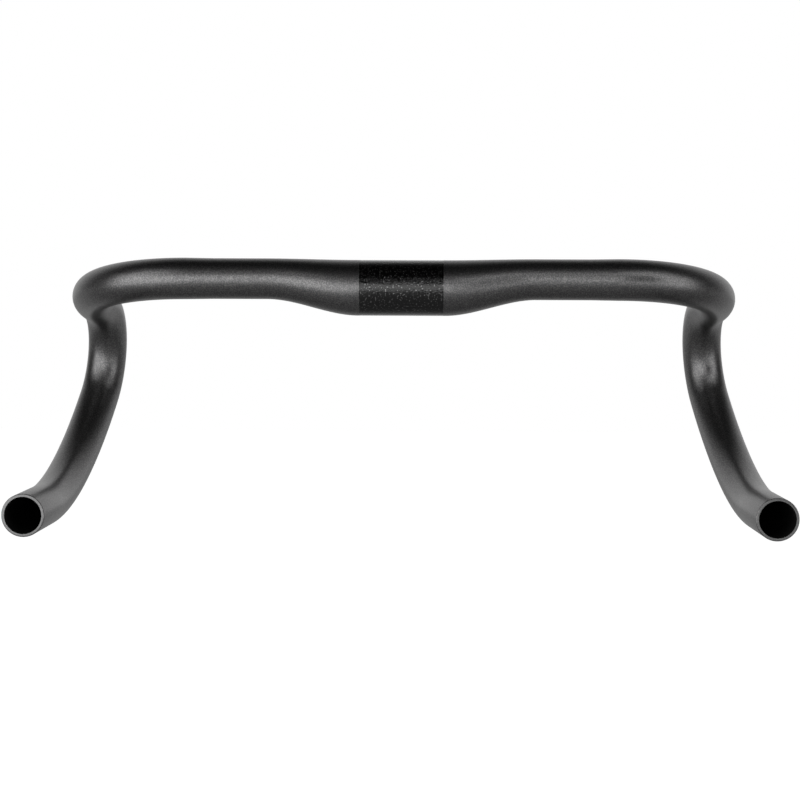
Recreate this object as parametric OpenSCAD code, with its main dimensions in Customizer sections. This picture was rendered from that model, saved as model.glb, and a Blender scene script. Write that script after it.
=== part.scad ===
// Flared drop handlebar: one aluminium tube, drawn down from the clamp bulge to the
// grip size, then bent at two corners and in two hooks that lean outwards.
// Millimetres. X runs along the tops, Y forward over the wheel, Z up, and the origin
// is the middle of the clamp. The straight ends of the drops are level.

/* [Clamp] */
// Diameter of the round seat that the stem holds
clamp_d = 31.8; // [28:0.1:35]
// Length of that seat
clamp_w = 50; // [40:1:80]
// Wall of the tube inside the clamp
clamp_wall = 2.4; // [1.8:0.1:3]

/* [Taper] */
// Length of each taper, from the clamp's edge to the slim top
taper_len = 52; // [35:1:65]
// Height of the tops' centre line above the clamp's, which keeps the upper line flush
top_rise = 5; // [0:0.1:6]
// Number of slices in each taper, always odd
taper_slices = 11; // [7:2:15]

/* [Tops] */
// Diameter of the slim part beside the taper
top_d = 23.3; // [22:0.1:25]
// Distance from the middle to the start of the corner's bend
top_half = 124; // [115:1:160]
// Length over which the tube grows from the slim part to the grip size
swell_len = 16; // [8:1:20]

/* [Corners] */
// Centre-line radius of the corner's bend
corner_r = 64; // [45:1:80]
// Angle through which the corner turns, and past 90 the ramps toe in
corner_turn = 95; // [85:1:100]
// Angle at which the ramp falls away from level
ramp_fall = 12; // [4:1:18]
// Straight run between the corner and the hook
ramp_len = 8; // [4:1:40]

/* [Drops] */
// Diameter of the tube along the ramps and drops
grip_d = 23.8; // [22.2:0.1:26]
// Wall of the tube outside the clamp
tube_wall = 1.6; // [1.2:0.1:2.4]
// Angle at which the hook's plane leans outwards
flare = 8.3; // [0:0.1:16]
// Centre-line radius of the hook, where the hand and the lever sit
hook_r = 37; // [32:1:50]
// Angle through which the hook turns
hook_turn = 116; // [95:1:125]
// Straight run between the hook and the long lower bend
hook_flat = 3; // [2:1:20]
// Further outward lean of the lower bend's plane
drop_lean = 7; // [0:1:14]
// Centre-line radius of the lower bend
drop_r = 136; // [80:1:160]
// Straight run at the open end
end_len = 48; // [30:1:80]
// Radius on the outer edge of the cut end
end_round = 0.5; // [0.2:0.1:1]

/* [Hidden] */
$fn = 96;
// Neighbouring pieces of the tube overlap by this much
lap = 0.2;
// Of two that overlap, one has its wall thinner by this on each face
hair = 0.06;
// Turn of the bending plane from the clamp to the corner: from down to forward
to_corner = 90 - ramp_fall;
// Turn of the bending plane from the corner to the hook: from inward to down
to_hook = -(90 + flare);

// The tube's outer and inner radius in each of its parts
clamp = [clamp_d / 2, clamp_d / 2 - clamp_wall];
top = [top_d / 2, top_d / 2 - tube_wall];
grip = [grip_d / 2, grip_d / 2 - tube_wall];

// A direction of travel and the direction that the next bend leads to
function turned(way, a) =
    [way[0], way[1] * cos(a) + cross(way[0], way[1]) * sin(a)];
function bent(way, a) =
    [way[0] * cos(a) + way[1] * sin(a), way[1] * cos(a) - way[0] * sin(a)];
way_start = [[1, 0, 0], [0, 0, -1]];
way_ramp = bent(turned(way_start, to_corner), corner_turn);
way_drop = turned(bent(turned(way_ramp, to_hook), hook_turn), drop_lean);
// The lower bend turns until the tube is level
drop_turn = atan2(-way_drop[0][2], way_drop[1][2]);

// Smooth step from 0 at one end of the taper to 1 at the other
function eased(t) = t * t * (3 - 2 * t);
// A value the share t of the way from one to another
function between(from, to, t) = from + (to - from) * t;
// A wall made thinner on both faces, to lie inside its neighbour's
function thinned(size) = size + [-hair, hair];

// The tube is drawn along its own Z, as a bender feeds it: each step draws its length
// and leaves what follows at its end, and each bend leads towards its own X.
module run(from, to, length) {
    rotate_extrude()
        polygon([[from[1], 0], [from[0], 0], [to[0], length], [to[1], length]]);
}

module feed(from, to, length) {
    run(from, to, length);
    translate([0, 0, length]) children();
}

module turn_plane(angle) {
    rotate([0, 0, angle]) children();
}

module bend(size, r_bend, angle) {
    thin = thinned(size);
    lap_angle = lap / r_bend * 180 / PI;
    translate([r_bend, 0, 0])
        rotate([90, 0, 0])
            rotate_extrude(angle = angle + 2 * lap_angle, start = 180 - angle - lap_angle)
                translate([r_bend, 0])
                    difference() {
                        circle(r = thin[0]);
                        circle(r = thin[1]);
                    }
    translate([r_bend * (1 - cos(angle)), 0, r_bend * sin(angle)])
        rotate([0, angle, 0])
            children();
}

// Taper whose round sections shrink while they rise, so its underside is an S curve.
// Each slice leans, and every second one is a thin one lapped into its neighbours.
module rising_taper(from, to) {
    slice = taper_len / taper_slices;
    for (i = [0 : taper_slices - 1]) {
        low = eased(i / taper_slices);
        high = eased((i + 1) / taper_slices);
        lean = top_rise * (high - low) / slice;
        is_thin = i % 2 == 0;
        over = is_thin ? lap / slice : 0;
        first = between(from, to, between(low, high, -over));
        last = between(from, to, between(low, high, 1 + over));
        translate([-top_rise * low, 0, i * slice])
            multmatrix([[1, 0, -lean, 0], [0, 1, 0, 0], [0, 0, 1, 0]])
                translate([0, 0, -over * slice])
                    run(is_thin ? thinned(first) : first,
                        is_thin ? thinned(last) : last,
                        slice * (1 + 2 * over));
    }
    translate([-top_rise, 0, taper_len]) children();
}

// Open end of the tube, with its outer edge rounded
module cut_end(size, length) {
    rotate_extrude()
        difference() {
            union() {
                square([size[0], length - end_round]);
                square([size[0] - end_round, length]);
                translate([size[0] - end_round, length - end_round])
                    circle(r = end_round);
            }
            square([size[1], length]);
        }
}

// Half of the bar, from the clamp's edge to the open end
module half_bar() {
    straight_top = top_half - clamp_w / 2 - taper_len - swell_len;
    translate([clamp_w / 2, 0, 0])
        rotate([0, 90, 0])
            rising_taper(clamp, top)
            feed(top, top, straight_top)
            feed(top, grip, swell_len)
            turn_plane(to_corner)
            bend(grip, corner_r, corner_turn)
            feed(grip, grip, ramp_len)
            turn_plane(to_hook)
            bend(grip, hook_r, hook_turn)
            feed(grip, grip, hook_flat)
            turn_plane(drop_lean)
            bend(grip, drop_r, drop_turn)
            cut_end(grip, end_len);
}

module handlebar() {
    color([0.13, 0.13, 0.14]) {
        translate([-clamp_w / 2, 0, 0])
            rotate([0, 90, 0])
                run(clamp, clamp, clamp_w);
        for (side = [0, 1])
            mirror([side, 0, 0])
                half_bar();
    }
}

handlebar();
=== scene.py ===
# %% [markdown]
# # A flared drop handlebar
# This is the bare bar of a bicycle: one aluminium tube, thick where the stem clamps it,
# slim along the tops, and bent into two hooks that lean outwards. The CAD part is the
# frame here, so the bar is drawn again in the same place with finer faces and its real
# black finish. Everything is in metres, in the part's own frame: X to the rider's right,
# Y forwards and Z up, with the middle of the clamp at the origin.

import math

import bmesh
import bpy
from mathutils import Matrix, Vector


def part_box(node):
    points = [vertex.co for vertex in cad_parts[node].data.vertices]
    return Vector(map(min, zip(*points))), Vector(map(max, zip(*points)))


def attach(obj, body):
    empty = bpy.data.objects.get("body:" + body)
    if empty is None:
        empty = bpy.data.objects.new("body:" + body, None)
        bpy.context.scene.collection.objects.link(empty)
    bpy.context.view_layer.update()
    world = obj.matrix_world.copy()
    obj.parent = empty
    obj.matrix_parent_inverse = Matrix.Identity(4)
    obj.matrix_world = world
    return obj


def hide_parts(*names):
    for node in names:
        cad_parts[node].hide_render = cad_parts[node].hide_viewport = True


MM = 0.001

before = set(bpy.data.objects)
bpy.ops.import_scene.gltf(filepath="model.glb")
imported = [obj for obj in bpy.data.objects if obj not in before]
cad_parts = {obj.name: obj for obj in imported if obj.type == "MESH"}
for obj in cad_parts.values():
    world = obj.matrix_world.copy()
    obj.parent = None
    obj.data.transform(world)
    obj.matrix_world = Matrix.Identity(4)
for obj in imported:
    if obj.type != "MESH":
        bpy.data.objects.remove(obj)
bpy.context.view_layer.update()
bar_low, bar_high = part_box("handlebar")
print("CAD bar, mm:", [round((b - a) / MM, 1) for a, b in zip(bar_low, bar_high)])

# %% [markdown]
# A bar like this is specified as a bending schedule: how much tube runs straight, then
# the radius and the angle of each bend, and how far the bending plane turns in between.
# Keeping the same list here means that the drawn tube follows the CAD tube exactly, and
# a reader can see which number makes which part of the bar. Only the lower bend has no
# angle, because it goes on until the tube is level. Angles are in degrees.


# %% The sizes and the bending schedule
def skins(diameter, wall):
    """Radius of a tube's outer and inner skin, from its sizes in millimetres."""
    return {"outer": diameter / 2 * MM, "inner": (diameter / 2 - wall) * MM}


CLAMP = skins(31.8, wall=2.4)
TOP = skins(23.3, wall=1.6)
GRIP = skins(23.8, wall=1.6)
CLAMP_HALF = 25 * MM
BAND_HALF = 23.9 * MM
TAPER = {"length": 52 * MM, "rise": 5 * MM, "slices": 26}
SWELL = {"length": 16 * MM, "slices": 4}
CORNER_AT = 124 * MM
CORNER_R, CORNER_TURN = 64 * MM, 95
RAMP, RAMP_FALL = 8 * MM, 12
FLARE = 8.3
HOOK_R, HOOK_TURN, HOOK_FLAT = 37 * MM, 116, 3 * MM
DROP_R, DROP_LEAN = 136 * MM, 7
STRAIGHT_END = 48 * MM
SCHEDULE = [
    ("turn", 90 - RAMP_FALL),
    ("bend", CORNER_R, CORNER_TURN),
    ("run", RAMP),
    ("turn", -(90 + FLARE)),
    ("bend", HOOK_R, HOOK_TURN),
    ("run", HOOK_FLAT),
    ("turn", DROP_LEAN),
    ("level", DROP_R),
    ("run", STRAIGHT_END),
]
print("bends on each side:", sum(name in ("bend", "level") for name, *_ in SCHEDULE))

# %% [markdown]
# Bmesh can work as the bender does. The tube starts as one circle at the middle of the
# clamp. Extruding the circle's edges feeds the tube forwards, scaling the new circle
# draws it down, and spinning it about a point beside the tube bends it. A small class
# keeps the open circle, the direction of travel and the direction of the next bend.

# %% A tube that is fed, drawn down and bent
SIDES = 96
DEGREES_PER_SLICE = 2.2


class DrawnTube:
    def __init__(self, bm, radius):
        self.bm = bm
        self.radius = radius
        self.at = Vector((0, 0, 0))
        self.ahead = Vector((1, 0, 0))
        self.lead = Vector((0, 0, -1))
        upright = Matrix.Rotation(math.pi / 2, 4, "Y")
        made = bmesh.ops.create_circle(
            bm, cap_ends=False, radius=radius, segments=SIDES, matrix=upright
        )
        self.edges = list({e for v in made["verts"] for e in v.link_edges})

    def ring(self):
        return list({v for e in self.edges for v in e.verts})

    def feed(self, step, radius=None, rise=0.0):
        """Extrude the open circle, then scale it to radius and lift it by rise."""
        made = bmesh.ops.extrude_edge_only(self.bm, edges=self.edges)["geom"]
        self.edges = [g for g in made if isinstance(g, bmesh.types.BMEdge)]
        move = self.ahead * step + Vector((0, 0, rise))
        bmesh.ops.translate(self.bm, verts=self.ring(), vec=move)
        self.at += move
        if radius is not None:
            here = Matrix.Translation(-self.at)
            size = Vector((radius / self.radius,) * 3)
            bmesh.ops.scale(self.bm, verts=self.ring(), vec=size, space=here)
            self.radius = radius

    def turn(self, degrees):
        """Turn the bending plane about the tube."""
        self.lead.rotate(Matrix.Rotation(math.radians(degrees), 3, self.ahead))

    def bend(self, radius, degrees):
        """Spin the open circle about a point beside the tube."""
        axis = self.ahead.cross(self.lead)
        centre = self.at + radius * self.lead
        made = bmesh.ops.spin(
            self.bm, geom=self.edges, cent=centre, axis=axis, dvec=Vector(),
            angle=math.radians(degrees), steps=round(degrees / DEGREES_PER_SLICE),
            use_duplicate=False,
        )["geom_last"]
        self.edges = [g for g in made if isinstance(g, bmesh.types.BMEdge)]
        spun = Matrix.Rotation(math.radians(degrees), 3, axis)
        self.at = centre + spun @ (self.at - centre)
        self.ahead = spun @ self.ahead
        self.lead = spun @ self.lead

    def bend_level(self, radius):
        """Bend until the tube neither falls nor rises."""
        self.bend(radius, math.degrees(math.atan2(-self.ahead.z, self.lead.z)))


print("sides of the tube:", SIDES, "and degrees in a slice of a bend:", DEGREES_PER_SLICE)

# %% [markdown]
# The taper between the clamp and the tops isn't a plain cone. Its upper line stays
# nearly flush, and its underside rises in a soft S curve, so each circle is smaller and
# higher than the one before. A smooth step gives that S with no corner at either end.
# The outer skin and the bore take the same way, so both are drawn by one function.


# %% Draw each skin of the tube, from the middle to the open end
def soft_step(t):
    return t * t * (3 - 2 * t)


def draw_skin(bm, side):
    tube = DrawnTube(bm, CLAMP[side])
    for stop in (BAND_HALF, CLAMP_HALF):
        tube.feed(stop - tube.at.x)
    for i in range(TAPER["slices"]):
        low = soft_step(i / TAPER["slices"])
        high = soft_step((i + 1) / TAPER["slices"])
        tube.feed(
            TAPER["length"] / TAPER["slices"],
            radius=CLAMP[side] + (TOP[side] - CLAMP[side]) * high,
            rise=TAPER["rise"] * (high - low),
        )
    tube.feed(CORNER_AT - SWELL["length"] - tube.at.x)
    for i in range(SWELL["slices"]):
        share = (i + 1) / SWELL["slices"]
        tube.feed(SWELL["length"] / SWELL["slices"],
                  radius=TOP[side] + (GRIP[side] - TOP[side]) * share)
    ways = {"turn": tube.turn, "bend": tube.bend, "level": tube.bend_level, "run": tube.feed}
    for name, *numbers in SCHEDULE:
        ways[name](*numbers)
    return tube


def mark_new_faces(bm, old_faces, slot):
    """Give a material slot to the faces that aren't among the old ones."""
    for face in bm.faces:
        if face not in old_faces:
            face.material_index = slot
    return set(bm.faces)


TUBE, BAND, CUT, BORE = range(4)
bm = bmesh.new()
outside = draw_skin(bm, "outer")
drawn = mark_new_faces(bm, set(), TUBE)
bore = draw_skin(bm, "inner")
drawn = mark_new_faces(bm, drawn, BORE)
print("open end at, mm:", [round(c / MM, 2) for c in outside.at])

# %% [markdown]
# The tube has a real wall, which shows at the open ends. Extruding the outer skin's last
# circle inwards makes the cut face, and merging it with the bore's last circle closes the
# wall, because both skins have their points at the same angles. A small bevel on the
# outer edge is what the maker's deburring leaves, and it has the tube's black finish. The
# other half is a mirror copy.

# %% Close the cut end, soften its edge and mirror the half bar
EDGE_ROUND = 0.5 * MM
SAME_POINT = 0.001 * MM

rim = outside.edges
outside.feed(0.0, radius=GRIP["inner"])
mark_new_faces(bm, drawn, CUT)
bmesh.ops.remove_doubles(bm, verts=outside.ring() + bore.ring(), dist=SAME_POINT)
softened = bmesh.ops.bevel(
    bm, geom=rim, offset=EDGE_ROUND, offset_type="OFFSET",
    affect="EDGES", segments=4, profile=0.5, material=-1,
)
for face in softened["faces"]:
    face.material_index = TUBE
bmesh.ops.mirror(bm, geom=bm.verts[:] + bm.edges[:] + bm.faces[:],
                 matrix=Matrix.Identity(4), merge_dist=SAME_POINT, axis="X")
bmesh.ops.recalc_face_normals(bm, faces=bm.faces)
print("open edges:", sum(e.is_boundary for e in bm.edges), "faces:", len(bm.faces))

# %% [markdown]
# Each face now carries its finish: the blasted tube, the cut ends or the bore. Only the
# band under the stem is left. Its edge falls on a circle of the drawn tube, so the outer
# faces nearer to the middle than that circle are the band, with a perfectly sharp edge.

# %% Mark the band under the stem
for face in bm.faces:
    face.smooth = True
    if face.material_index == TUBE and abs(face.calc_center_median().x) < BAND_HALF:
        face.material_index = BAND
counts = [sum(f.material_index == n for f in bm.faces) for n in (TUBE, BAND, CUT, BORE)]
print("faces of tube, band, cut ends and bore:", counts)

# %% [markdown]
# The finished mesh becomes one object at the origin, which stands for the CAD node and
# moves with its body. Edges sharper than 40 degrees, such as the mouth of the bore, are
# marked sharp, so that smooth shading doesn't smear across them.

# %% Hand the mesh over to the frame
SHARP = math.radians(40)

mesh = bpy.data.meshes.new("bar_tube")
bm.to_mesh(mesh)
bm.free()
mesh.set_sharp_from_angle(angle=SHARP)
bar = bpy.data.objects.new("bar_tube", mesh)
bpy.context.scene.collection.objects.link(bar)
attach(bar, "root")
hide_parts("handlebar")
print("triangles:", sum(len(p.vertices) - 2 for p in mesh.polygons))

# %% [markdown]
# Shader maths reads best as ordinary sums. A small class wraps one socket of a node tree
# and turns +, - and * into Math nodes. Its method `node` adds any other node, and returns
# one of the new node's outputs, wrapped in the same way.


# %% A socket that can be calculated with
def plug_in(node, **inputs):
    """Set sockets to numbers or link them to wires. _0 is the first socket."""
    for name, value in inputs.items():
        key = int(name[1:]) if name[0] == "_" else name.replace("_", " ")
        if isinstance(value, Wire):
            node.id_data.links.new(value.socket, node.inputs[key])
        else:
            node.inputs[key].default_value = value


class Wire:
    def __init__(self, tree, socket=None):
        self.tree = tree
        self.socket = socket

    def node(self, kind, settings=None, out=0, **inputs):
        made = self.tree.nodes.new(kind)
        for name, value in (settings or {}).items():
            setattr(made, name, value)
        plug_in(made, **inputs)
        return Wire(self.tree, made.outputs[out])

    def calculate(self, operation, a, b):
        return self.node("ShaderNodeMath", {"operation": operation}, _0=a, _1=b)

    def __add__(self, other):
        return self.calculate("ADD", self, other)

    def __radd__(self, other):
        return self.calculate("ADD", other, self)

    def __sub__(self, other):
        return self.calculate("SUBTRACT", self, other)

    def __rsub__(self, other):
        return self.calculate("SUBTRACT", other, self)

    def __mul__(self, other):
        return self.calculate("MULTIPLY", self, other)

    def __rmul__(self, other):
        return self.calculate("MULTIPLY", other, self)

    def step(self, low, high):
        """0 below low, 1 above high, and smooth in between."""
        return self.node("ShaderNodeMapRange", {"interpolation_type": "SMOOTHSTEP"},
                         Value=self, From_Min=low, From_Max=high)

    def noise(self, scale, detail=2.0):
        """Noise over this place, with a given number of waves in a metre."""
        return self.node("ShaderNodeTexNoise", Vector=self, Scale=scale, Detail=detail)

    def colour(self, at_0, at_1):
        """A colour between two, by this value."""
        return self.node("ShaderNodeMix", {"data_type": "RGBA"}, out=2,
                         _0=self, _6=at_0, _7=at_1)

    def bump(self, distance):
        """Dents with this value as their height, for a Normal socket."""
        return self.node("ShaderNodeBump", Height=self, Distance=distance)

    def ray(self, kind):
        """1 where a ray is of this kind, such as Camera or Glossy, and 0 elsewhere."""
        return self.node("ShaderNodeLightPath", out=f"Is {kind} Ray")


print("a wire can", [name for name in vars(Wire) if name[0] != "_"])

# %% [markdown]
# Each finish starts from the same shader and from Object coordinates, which lie in the
# part's own frame, so that every pattern is measured in metres and stays where it is on
# the bar when the bar moves.


# %% The start of a finish
def grey(tone):
    return (tone, tone, tone, 1)


def new_finish(name):
    finish = bpy.data.materials.new(name)
    finish.use_nodes = True
    place = Wire(finish.node_tree).node("ShaderNodeTexCoord", out="Object")
    return finish, finish.node_tree.nodes["Principled BSDF"], place


def put_on(finish):
    """Put a finish in the bar's next slot, so the calls keep the slots' order."""
    mesh.materials.append(finish)
    print("slot", len(mesh.materials) - 1, "is", finish.name)


# %% [markdown]
# The tube is bead blasted and then anodised black. Blasting leaves dimples a fraction of
# a millimetre wide, so the metal shines softly and glitters a little where light glances
# off it. Noise at two sizes makes the dimples, and the finest one also varies the tone.

# %% Blasted black finish
BLACK, GLITTER = (0.094, 0.093, 0.095, 1), (0.18, 0.178, 0.176, 1)
FINE_DIMPLES, COARSE_DIMPLES = 1500.0, 420.0
DIMPLES_DEEP = 0.05 * MM

blasted, shader, place = new_finish("blasted_black")
fine = place.noise(FINE_DIMPLES, detail=1.0)
coarse = place.noise(COARSE_DIMPLES)
plug_in(shader, Metallic=1.0, Roughness=0.36,
        Base_Color=fine.step(0.35, 0.75).colour(BLACK, GLITTER),
        Normal=(fine + 0.5 * coarse).bump(DIMPLES_DEEP))
put_on(blasted)

# %% [markdown]
# The band that the stem grips has a thin coat of black varnish with grit in it, so that
# the bar can't slip. The varnish is glossy: it mirrors the lamp in front as one bright
# strip, and the grit breaks the strip's edges into specks. Rare flecks shine like metal.

# %% Gritty clamp band
VARNISH, BRIGHT_GRAIN = grey(0.001), grey(0.16)
GRAINS, FLECKS = 1500.0, 1200.0
GRIT_HIGH = 0.11 * MM

grit, shader, place = new_finish("gritty_band")
grain = place.noise(GRAINS, detail=0.0)
flecks = place.noise(FLECKS, detail=0.0).step(0.67, 0.75)
plug_in(shader, Metallic=flecks, Roughness=0.1, Specular_IOR_Level=0.45,
        Base_Color=flecks.colour(VARNISH, BRIGHT_GRAIN),
        Normal=grain.bump(GRIT_HIGH))
put_on(grit)

# %% [markdown]
# Sawing and deburring leave the cut face brighter than the tube. The bore is bare metal
# in deep shade, and its near-black colour is painted shade: it stands in for the light
# that gets in and hardly comes out again.

# %% Cut ends and the bore
cut, shader, place = new_finish("cut_end")
plug_in(shader, Metallic=1.0, Roughness=0.35,
        Base_Color=place.noise(1200.0).colour(grey(0.09), grey(0.16)))
put_on(cut)

# The bore's near-black colour is painted shade for its dark inside, not the metal's own
# colour.
dark, shader, place = new_finish("bore_painted_shade")
plug_in(shader, Roughness=0.9, Specular_IOR_Level=0.1,
        Base_Color=place.noise(300.0).colour(grey(0.002), grey(0.004)))
put_on(dark)

# %% [markdown]
# The camera stands where the photograph was taken: 1.06 m behind the bar, at the height
# of the clamp, looking a few degrees down. Place, turn and lens were found by laying the
# bar's outline over the photograph.

# %% Camera
CAMERA_AT = Vector((0.01657, -1.06291, 0.00007))
YAW, PITCH, ROLL = (math.radians(a) for a in (-0.93, -3.464, 0.213))
SENSOR_MM = 36
PHOTO_WIDE_PX = 800
LENS_PX = 1852.77

camera = bpy.data.objects.new("camera", bpy.data.cameras.new("camera"))
bpy.context.scene.collection.objects.link(camera)
camera.matrix_world = (
    Matrix.Translation(CAMERA_AT)
    @ Matrix.Rotation(-YAW, 4, "Z")
    @ Matrix.Rotation(math.pi / 2 + PITCH, 4, "X")
    @ Matrix.Rotation(ROLL, 4, "Z")
)
camera.data.sensor_width = SENSOR_MM
camera.data.lens = SENSOR_MM * LENS_PX / PHOTO_WIDE_PX
bpy.context.scene.camera = camera
print("lens, mm:", round(camera.data.lens, 1))

# %% [markdown]
# The light stands around the camera. Three large boxes, one in front and one on each
# side, make the long soft highlights. Four flat ones, above and below, brighten the
# curves of the corners and the drops. They stand off to the sides, so that the glossy
# band, which mirrors only a narrow slice of the room, shows the middle box alone. Each
# box is placed by the direction from which the bar sees it, and a radiance of 1 is as
# bright as the white backdrop.

# %% Lamps
LAMP_AWAY = 1.6
# The direction of the box's middle, azimuth and elevation, then its width and height as
# seen from the bar, all in degrees, and its radiance
LAMPS = {
    "box_left": (-59, 1, 34, 45, 2.8),
    "box_middle": (-15, 4, 52, 28, 2.4),
    "box_right": (61, 1, 32, 45, 2.1),
    "upper_left": (-42, 33, 34, 15, 1.7),
    "upper_right": (34, 33, 50, 15, 2.1),
    "lower_left": (-25, -15, 34, 15, 2.6),
    "lower_right": (26, -15, 34, 15, 1.8),
}


def soft_box(name, azimuth, elevation, wide, high, radiance):
    """A rectangular lamp that faces the bar, which the camera doesn't see."""
    lamp = bpy.data.lights.new(name, "AREA")
    lamp.shape = "RECTANGLE"
    lamp.size = 2 * LAMP_AWAY * math.tan(math.radians(wide / 2))
    lamp.size_y = 2 * LAMP_AWAY * math.tan(math.radians(high / 2))
    lamp.energy = radiance * math.pi * lamp.size * lamp.size_y
    box = bpy.data.objects.new(name, lamp)
    bpy.context.scene.collection.objects.link(box)
    a, e = math.radians(azimuth), math.radians(elevation)
    way = Vector((math.sin(a) * math.cos(e), -math.cos(a) * math.cos(e), math.sin(e)))
    box.location = way * LAMP_AWAY
    box.rotation_euler = way.to_track_quat("Z", "Y").to_euler()
    box.visible_camera = False
    print(name, "power, W:", round(lamp.energy, 2))


for name, numbers in LAMPS.items():
    soft_box(name, *numbers)

# %% [markdown]
# Behind the bar hangs a white backdrop, which the camera sees pure white everywhere. The
# edges of the tube mirror what lies behind them, so mirror rays find the backdrop nearly
# white too. It gives less soft light than that, and it fades out at the sides and
# overhead, where the room is nearly black, so that the bar stays dark.

# %% Backdrop
ROOM_LIGHT, BACKDROP_LIGHT, MIRRORED_MORE = 0.005, 0.3, 0.6
# Where the backdrop starts and is full, and where it starts to fade overhead and is most
# faded, by the Y and the Z of a direction whose length is 1
BACKDROP_Y, OVERHEAD_Z = (0.18, 0.8), (0.6, 0.95)
OVERHEAD_LOSS = 0.8

world = bpy.data.worlds.new("studio")
bpy.context.scene.world = world
world.use_nodes = True
air = Wire(world.node_tree).node("ShaderNodeTexCoord", out="Generated")
forwards = air.node("ShaderNodeSeparateXYZ", out="Y", _0=air)
upwards = air.node("ShaderNodeSeparateXYZ", out="Z", _0=air)
backdrop = forwards.step(*BACKDROP_Y) * (1.0 - OVERHEAD_LOSS * upwards.step(*OVERHEAD_Z))
mirrored = air.ray("Glossy") + air.ray("Transmission")
light = ROOM_LIGHT + backdrop * (BACKDROP_LIGHT + MIRRORED_MORE * mirrored)
seen = air.ray("Camera")
plug_in(world.node_tree.nodes["Background"], Color=grey(1),
        Strength=seen + (1.0 - seen) * light)
print("nodes of the backdrop:", len(world.node_tree.nodes))

# %% [markdown]
# The floor is pale paper, well below the bar. Camera rays see the paper with a white glow
# added, so it looks as white as the backdrop, and the bar's faint, soft shadow is lost in
# that white. All other rays meet the paper mixed with a glow that grows towards the
# backdrop and stands for the backdrop's light on it.

# %% Floor
FLOOR_Z = -0.55
FLOOR_HALF = 6.0

bm = bmesh.new()
bmesh.ops.create_grid(bm, x_segments=1, y_segments=1, size=FLOOR_HALF)
bmesh.ops.translate(bm, verts=bm.verts, vec=Vector((0, 0, FLOOR_Z)))
floor_mesh = bpy.data.meshes.new("floor")
bm.to_mesh(floor_mesh)
bm.free()
floor = bpy.data.objects.new("floor", floor_mesh)
bpy.context.scene.collection.objects.link(floor)
print("floor at, mm:", FLOOR_Z / MM)

# %% Paper of the floor
GLOW_STARTS, GLOW_IS_FULL = 0.1, 0.8
FAR_GLOW = 0.5

paper, shader, place = new_finish("paper")
plug_in(shader, Base_Color=grey(0.5), Roughness=0.9, Specular_IOR_Level=0.0)
bare = Wire(paper.node_tree, shader.outputs[0])
glow = place.node("ShaderNodeEmission")
forwards = place.node("ShaderNodeSeparateXYZ", out="Y", _0=place)
far = FAR_GLOW * forwards.step(GLOW_STARTS, GLOW_IS_FULL)
met = place.node("ShaderNodeMixShader", _0=far, _1=bare, _2=glow)
white = place.node("ShaderNodeAddShader", _0=bare, _1=glow)
shown = place.node("ShaderNodeMixShader", _0=place.ray("Camera"), _1=met, _2=white)
plug_in(paper.node_tree.nodes["Material Output"], Surface=shown)
floor_mesh.materials.append(paper)
print("nodes of the paper:", len(paper.node_tree.nodes))

# %% [markdown]
# The Standard view shows each colour as it is written. The drawn tube has finer bends,
# so it reaches up to 0.1 mm further than the CAD part's flat faces.

# %% Show colours as written
bpy.context.scene.view_settings.view_transform = "Standard"
